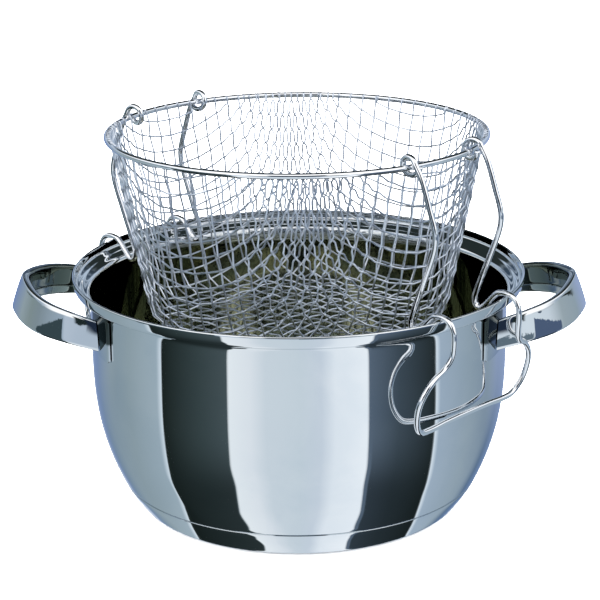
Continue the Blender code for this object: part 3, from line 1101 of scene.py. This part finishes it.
def studio_panels(n, x, y, z, right_side, light):
    """Panels level with the pot, and the sloping tops of the two dark screens."""
    turn = n.math("ARCTAN2", n.math("ABSOLUTE", x), n.times(y, -1.0))
    panel = by_side(n, right_side, turn, LEFT_PANELS, RIGHT_PANELS, 1.0 / HANDLE_SHINE)
    panel_foot = n.between(y, 0.25, 0.75, -0.27, -0.52)
    light = n.mix(n.window(z, panel_foot, -0.21, 0.10, 0.14), light, panel)
    ragged = n.between(n.noise(n.join(x, y, z), 26.0, 3.0, 0.6), 0.3, 0.7, -0.008, 0.008)
    slope = on_side(n, right_side, -0.18, -0.114)
    top = n.plus(n.times(turn, slope), on_side(n, right_side, 0.200, 0.136))
    below_top = n.minus(n.plus(top, ragged), z)
    edge = n.plus(turn, on_side(n, right_side, 0.0, 0.055))
    screen = n.times(n.between(below_top, 0.0, 0.006), n.between(edge, 0.708, 0.722))
    screen = n.times(screen, n.between(turn, 1.48, 1.52, 1.0, 0.0))
    screen = n.times(screen, n.between(z, -0.30, -0.24))
    light = n.mix(screen, light, n.mix(right_side, linear(*LEFT_SCREEN), linear(*RIGHT_SCREEN)))
    # folds of cloth that slope down beside the screens
    fall = on_side(n, right_side, -0.25, -0.31)
    line = n.plus(n.times(n.minus(turn, math.pi / 2), fall), 0.155)
    off = n.minus(n.minus(z, line), ragged)
    fold = n.times(n.window(off, -0.008, 0.0, 0.024, 0.036), n.window(turn, 1.36, 1.50, 2.1, 2.3))
    light = n.mix(fold, light, linear(*FOLD))
    return studio_clutter(n, turn, z, ragged, right_side, light)


def studio_clutter(n, turn, z, ragged, right_side, light):
    """Low clutter in front on the right, and one small dark lamp."""
    height = n.plus(z, n.times(ragged, 3.0))
    low = n.times(n.between(height, -0.105, -0.095, 1.0, 0.0), n.between(z, -0.27, -0.23))
    low = n.times(low, n.times(n.between(turn, 0.62, 0.66, 1.0, 0.0), right_side))
    light = n.mix(low, light, linear(*CLUTTER))
    wide = n.math("POWER", n.over(n.minus(turn, LAMP_TURN), LAMP_HALF_WIDTH), 2.0)
    tall = n.math("POWER", n.over(n.minus(z, LAMP_Z), LAMP_HALF_HEIGHT), 2.0)
    lamp = n.times(n.between(n.plus(wide, tall), 0.75, 1.1, 1.0, 0.0), right_side)
    return n.mix(lamp, light, linear(*LAMP))


def studio_ceiling(n, x, y, z, light):
    """Softboxes above and in front, a ragged dark cloth, and the dark place where the camera stands."""
    side_x = n.math("ABSOLUTE", x)
    above = n.between(z, 0.10, 0.15)
    light = n.mix(above, light, linear(*CEILING, 1.25))
    light = n.mix(n.between(z, 0.27, 0.38), light, linear(*HIGH_CEILING, 1.3))
    front = n.times(n.between(y, -0.05, -0.62), above)
    light = n.mix(front, light, linear(*SOFTBOX, 1.35))
    height = n.plus(z, n.times(n.noise(n.join(x, y, z), 9.0, 3.0, 0.6), 0.10))
    cloth = n.times(n.between(height, 0.085, 0.10), n.between(z, 0.24, 0.30, 1.0, 0.0))
    cloth = n.times(cloth, n.between(side_x, 0.44, 0.50, 1.0, 0.0))
    cloth = n.times(cloth, n.between(y, -0.5, -0.6))
    light = n.mix(cloth, light, linear(*DARK_CLOTH))
    stand = n.times(n.between(side_x, 0.24, 0.30, 1.0, 0.0), n.between(y, -0.55, -0.65))
    stand = n.times(stand, n.window(z, -0.07, 0.0, 0.55, 0.66))
    return n.mix(stand, light, linear(*CAMERA_STAND))


def studio_room(n, x, y, z, light):
    """Dark room above and behind, with paler streaks low down behind."""
    cone = n.between(n.plus(n.times(y, 0.595), n.times(z, 0.804)), 0.62, 0.70)
    streak = n.noise(n.join(n.times(x, 0.6), y, n.times(z, 5.0)), 2.6, 3.0, 0.6)
    pale = n.mix(n.between(streak, 0.34, 0.50), linear(*STREAK_DARK), linear(*STREAK_PALE, 1.3))
    room = n.mix(n.between(z, 0.33, 0.42), pale, linear(*ROOM))
    return n.mix(cone, light, room)


def studio_world():
    """What the steel mirrors, with plain white for the camera and an even light for rough surfaces."""
    world = bpy.data.worlds.new("studio")
    bpy.context.scene.world = world
    world.use_nodes = True
    world.cycles.sampling_method = "NONE"
    n = Nodes(world.node_tree)
    turned_x, turned_y, z = n.split(n.new("ShaderNodeTexCoord").outputs["Generated"])
    c, s = math.cos(VIEW_TURN), math.sin(VIEW_TURN)
    x = n.plus(n.times(turned_x, c), n.times(turned_y, s))
    y = n.minus(n.times(turned_y, c), n.times(turned_x, s))
    right_side = n.between(x, -0.004, 0.004)
    light = studio_bands(n, x, y, z, right_side)
    light = studio_panels(n, x, y, z, right_side, light)
    light = studio_ceiling(n, x, y, z, light)
    light = studio_room(n, x, y, z, light)
    path = n.new("ShaderNodeLightPath")
    white = linear(255, 255, 255)
    plain = n.mix(path.outputs["Is Camera Ray"], linear(255, 255, 255, ROOM_LIGHT), white)
    colour = n.mix(path.outputs["Is Glossy Ray"], plain, light)
    shine = n.new("ShaderNodeBackground", {"Color": colour, "Strength": 1.0})
    n.put(n.new("ShaderNodeOutputWorld").inputs["Surface"], shine.outputs[0])


def studio_floor():
    """A wide pale disc just under the pot."""
    steps = 96
    points = [(0.0, 0.0, -FLOOR_DROP)]
    for radius in FLOOR_RINGS:
        for i in range(steps):
            turn = math.tau * i / steps
            points.append((radius * math.cos(turn), radius * math.sin(turn), -FLOOR_DROP))
    faces = [(0, 1 + i, 1 + (i + 1) % steps) for i in range(steps)]
    for k in range(len(FLOOR_RINGS) - 1):
        low = 1 + k * steps
        for i in range(steps):
            j = (i + 1) % steps
            faces.append((low + i, low + steps + i, low + steps + j, low + j))
    mesh = bpy.data.meshes.new("studio_floor")
    mesh.from_pydata([tuple(v * MM for v in p) for p in points], [], faces)
    floor = bpy.data.objects.new("studio_floor", mesh)
    bpy.context.scene.collection.objects.link(floor)
    mat = bpy.data.materials.new("floor_white")
    mat.use_nodes = True
    shader = mat.node_tree.nodes["Principled BSDF"]
    shader.inputs["Base Color"].default_value = (0.93, 0.93, 0.935, 1.0)
    shader.inputs["Roughness"].default_value = 0.9
    shader.inputs["Specular IOR Level"].default_value = 0.0
    mesh.materials.append(mat)
    floor.visible_glossy = False


def camera():
    """A long lens at the photo's viewpoint, looking down on the pot."""
    data = bpy.data.cameras.new("camera")
    data.lens = CAMERA_LENS
    data.sensor_width = 36.0
    data.shift_x = CAMERA_SHIFT
    data.clip_start = 0.05
    data.clip_end = 60.0
    obj = bpy.data.objects.new("camera", data)
    bpy.context.scene.collection.objects.link(obj)
    look = Matrix.Rotation(math.pi / 2 - CAMERA_DOWN, 4, "X") @ Matrix.Rotation(-CAMERA_ROLL, 4, "Z")
    place = Matrix.Translation(CAMERA_PLACE) @ look
    obj.matrix_world = Matrix.Rotation(VIEW_TURN, 4, "Z") @ place
    bpy.context.scene.camera = obj


def main():
    bpy.context.scene.view_settings.view_transform = "Standard"
    camera()
    studio_world()
    studio_floor()
    dress_core()
    build_pot()
    build_basket()


main()
bpy.context.view_layer.update()
